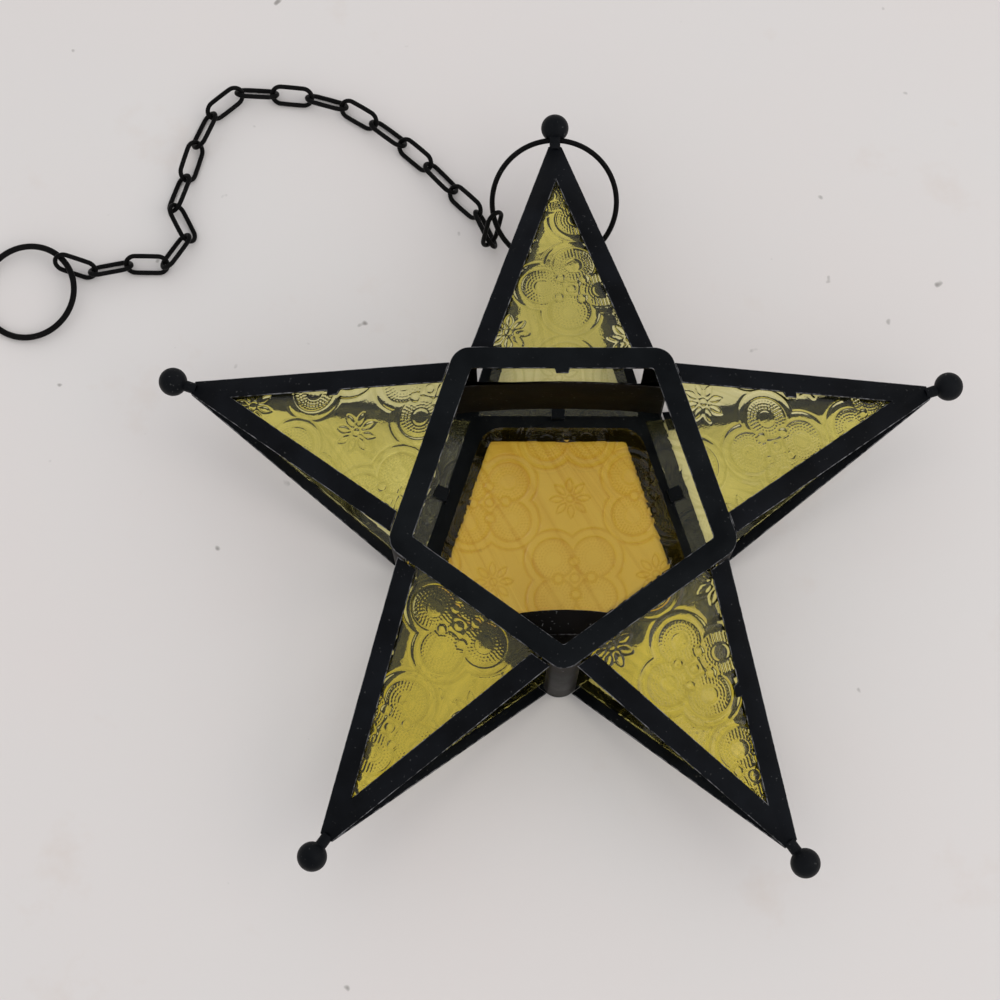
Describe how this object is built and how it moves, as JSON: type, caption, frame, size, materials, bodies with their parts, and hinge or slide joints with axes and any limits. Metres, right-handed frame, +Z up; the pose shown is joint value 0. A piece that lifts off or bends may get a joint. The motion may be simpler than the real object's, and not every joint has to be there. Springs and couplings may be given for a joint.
{
  "type": "star lantern",
  "caption": "Five-pointed star lantern of dark sheet metal and pressed amber and yellow glass, with a tealight dish, ball tips, a hanging ring and a loose chain.",
  "frame": {"origin": "underside of the back ring, at the middle of its top bar, on the table", "axes": "+Z up from the table, out of the front of the star; +Y towards the top point; +X to the right seen from the front"},
  "size_m": [0.3448, 0.289, 0.06],
  "materials": {
    "strap_metal": "dark blue-black lacquer, worn bright on edges",
    "ring_metal": "dark lacquer, satin",
    "post_metal": "brown-black, dull",
    "ball_metal": "dark lacquer, satin gloss",
    "dish_metal": "dark, sooty",
    "shield_metal": "matt, sooty brown-black",
    "chain_metal": "blackened wire, satin",
    "yellow_glass": "pressed floral pattern, translucent",
    "amber_glass": "pressed floral pattern, translucent"
  },
  "bodies": {
    "lantern": {"front_ring": "ring_metal", "back_ring": "ring_metal", "post_upper_left": "post_metal", "post_lower_left": "post_metal", "post_bottom": "post_metal", "post_lower_right": "post_metal", "post_upper_right": "post_metal", "front_frame_top": "strap_metal", "back_frame_top": "strap_metal", "front_pane_top": "yellow_glass", "back_pane_top": "yellow_glass", "ball_top": "ball_metal", "front_frame_left": "strap_metal", "back_frame_left": "strap_metal", "front_pane_left": "yellow_glass", "back_pane_left": "yellow_glass", "ball_left": "ball_metal", "front_frame_lower_left": "strap_metal", "back_frame_lower_left": "strap_metal", "front_pane_lower_left": "yellow_glass", "back_pane_lower_left": "yellow_glass", "ball_lower_left": "ball_metal", "front_frame_lower_right": "strap_metal", "back_frame_lower_right": "strap_metal", "front_pane_lower_right": "yellow_glass", "back_pane_lower_right": "yellow_glass", "ball_lower_right": "ball_metal", "front_frame_right": "strap_metal", "back_frame_right": "strap_metal", "front_pane_right": "yellow_glass", "back_pane_right": "yellow_glass", "ball_right": "ball_metal", "amber_back_pane": "amber_glass", "candle_dish": "dish_metal", "dish_bracket": "dish_metal", "heat_shield": "shield_metal"},
    "hanging_ring": {"hanging_ring": "chain_metal"},
    "link_19": {"link_19": "chain_metal"},
    "link_18": {"link_18": "chain_metal"},
    "link_17": {"link_17": "chain_metal"},
    "link_16": {"link_16": "chain_metal"},
    "link_15": {"link_15": "chain_metal"},
    "link_14": {"link_14": "chain_metal"},
    "link_13": {"link_13": "chain_metal"},
    "link_12": {"link_12": "chain_metal"},
    "link_11": {"link_11": "chain_metal"},
    "link_10": {"link_10": "chain_metal"},
    "link_9": {"link_9": "chain_metal"},
    "link_8": {"link_8": "chain_metal"},
    "link_7": {"link_7": "chain_metal"},
    "link_6": {"link_6": "chain_metal"},
    "link_5": {"link_5": "chain_metal"},
    "link_4": {"link_4": "chain_metal"},
    "link_3": {"link_3": "chain_metal"},
    "link_2": {"link_2": "chain_metal"},
    "link_1": {"link_1": "chain_metal"},
    "end_ring": {"end_ring": "chain_metal"}
  },
  "joints": [
    {"name": "ring_swing", "type": "hinge", "parent": "lantern", "child": "hanging_ring", "pos_m": [-0.0014, 0.0942, 0.03], "axis": [1, 0, 0], "range_deg": [-10, 165]},
    {"name": "link_19_swing", "type": "hinge", "parent": "hanging_ring", "child": "link_19", "pos_m": [-0.0226, 0.07061, 0.01468], "axis": [-0.2756, 0.8062, 0.5235], "range_deg": [-40, 40]},
    {"name": "link_18_swing", "type": "hinge", "parent": "link_19", "child": "link_18", "pos_m": [-0.02369, 0.06634, 0.00408], "axis": [0.7142, 0.6964, 0.0704], "range_deg": [-30, 40]},
    {"name": "link_17_swing", "type": "hinge", "parent": "link_18", "child": "link_17", "pos_m": [-0.02942, 0.07807, 0.00428], "axis": [0.3132, 0.3132, -0.8965], "range_deg": [-40, 40]},
    {"name": "link_16_swing", "type": "hinge", "parent": "link_17", "child": "link_16", "pos_m": [-0.03851, 0.08743, 0.00315], "axis": [-0.5069, -0.4895, -0.7095], "range_deg": [-40, 40]},
    {"name": "link_15_swing", "type": "hinge", "parent": "link_16", "child": "link_15", "pos_m": [-0.04763, 0.09681, 0.00374], "axis": [-0.4742, -0.5267, 0.7055], "range_deg": [-40, 40]},
    {"name": "link_14_swing", "type": "hinge", "parent": "link_15", "child": "link_14", "pos_m": [-0.05741, 0.10551, 0.00315], "axis": [0.4269, 0.5665, 0.7048], "range_deg": [-40, 35]},
    {"name": "link_13_swing", "type": "hinge", "parent": "link_14", "child": "link_13", "pos_m": [-0.0679, 0.11332, 0.00377], "axis": [0.3759, 0.6016, -0.7048], "range_deg": [-40, 40]},
    {"name": "link_12_swing", "type": "hinge", "parent": "link_13", "child": "link_12", "pos_m": [-0.0792, 0.11983, 0.00315], "axis": [-0.1874, -0.6993, -0.6899], "range_deg": [-40, 40]},
    {"name": "link_11_swing", "type": "hinge", "parent": "link_12", "child": "link_11", "pos_m": [-0.09187, 0.12306, 0.00385], "axis": [-0.0868, -0.707, 0.7019], "range_deg": [-40, 40]},
    {"name": "link_10_swing", "type": "hinge", "parent": "link_11", "child": "link_10", "pos_m": [-0.10486, 0.12459, 0.00315], "axis": [0.0248, 0.7091, 0.7047], "range_deg": [-40, 30]},
    {"name": "link_9_swing", "type": "hinge", "parent": "link_10", "child": "link_9", "pos_m": [-0.11749, 0.12387, 0.00483], "axis": [-0.5088, 0.6283, -0.5886], "range_deg": [-40, 40]},
    {"name": "link_8_swing", "type": "hinge", "parent": "link_9", "child": "link_8", "pos_m": [-0.12699, 0.11521, 0.00315], "axis": [0.7095, -0.2866, -0.6438], "range_deg": [-40, 40]},
    {"name": "link_7_swing", "type": "hinge", "parent": "link_8", "child": "link_7", "pos_m": [-0.1318, 0.10305, 0.0038], "axis": [0.6828, -0.1958, 0.7039], "range_deg": [-40, 40]},
    {"name": "link_6_swing", "type": "hinge", "parent": "link_7", "child": "link_6", "pos_m": [-0.13555, 0.09052, 0.00316], "axis": [-0.6714, 0.2181, 0.7083], "range_deg": [-40, 40]},
    {"name": "link_5_swing", "type": "hinge", "parent": "link_6", "child": "link_5", "pos_m": [-0.13813, 0.07826, 0.00487], "axis": [-0.7325, -0.3895, -0.5584], "range_deg": [-40, 40]},
    {"name": "link_4_swing", "type": "hinge", "parent": "link_5", "child": "link_4", "pos_m": [-0.13422, 0.0669, 0.00477], "axis": [0.7065, -0.4588, -0.5388], "range_deg": [-40, 40]},
    {"name": "link_3_swing", "type": "hinge", "parent": "link_4", "child": "link_3", "pos_m": [-0.1422, 0.05771, 0.00315], "axis": [0, -0.8762, 0.4819], "range_deg": [-40, 40]},
    {"name": "link_2_swing", "type": "hinge", "parent": "link_3", "child": "link_2", "pos_m": [-0.15525, 0.05728, 0.00326], "axis": [-0.1603, 0.6943, 0.7016], "range_deg": [-40, 40]},
    {"name": "link_1_swing", "type": "hinge", "parent": "link_2", "child": "link_1", "pos_m": [-0.168, 0.05525, 0.00315], "axis": [0.1911, 0.7133, -0.6743], "range_deg": [-40, 40]},
    {"name": "end_ring_swing", "type": "hinge", "parent": "link_1", "child": "end_ring", "pos_m": [-0.17677, 0.0576, 0.0053], "axis": [-0.6157, 0.788, 0], "range_deg": [-40, 40]}
  ]
}
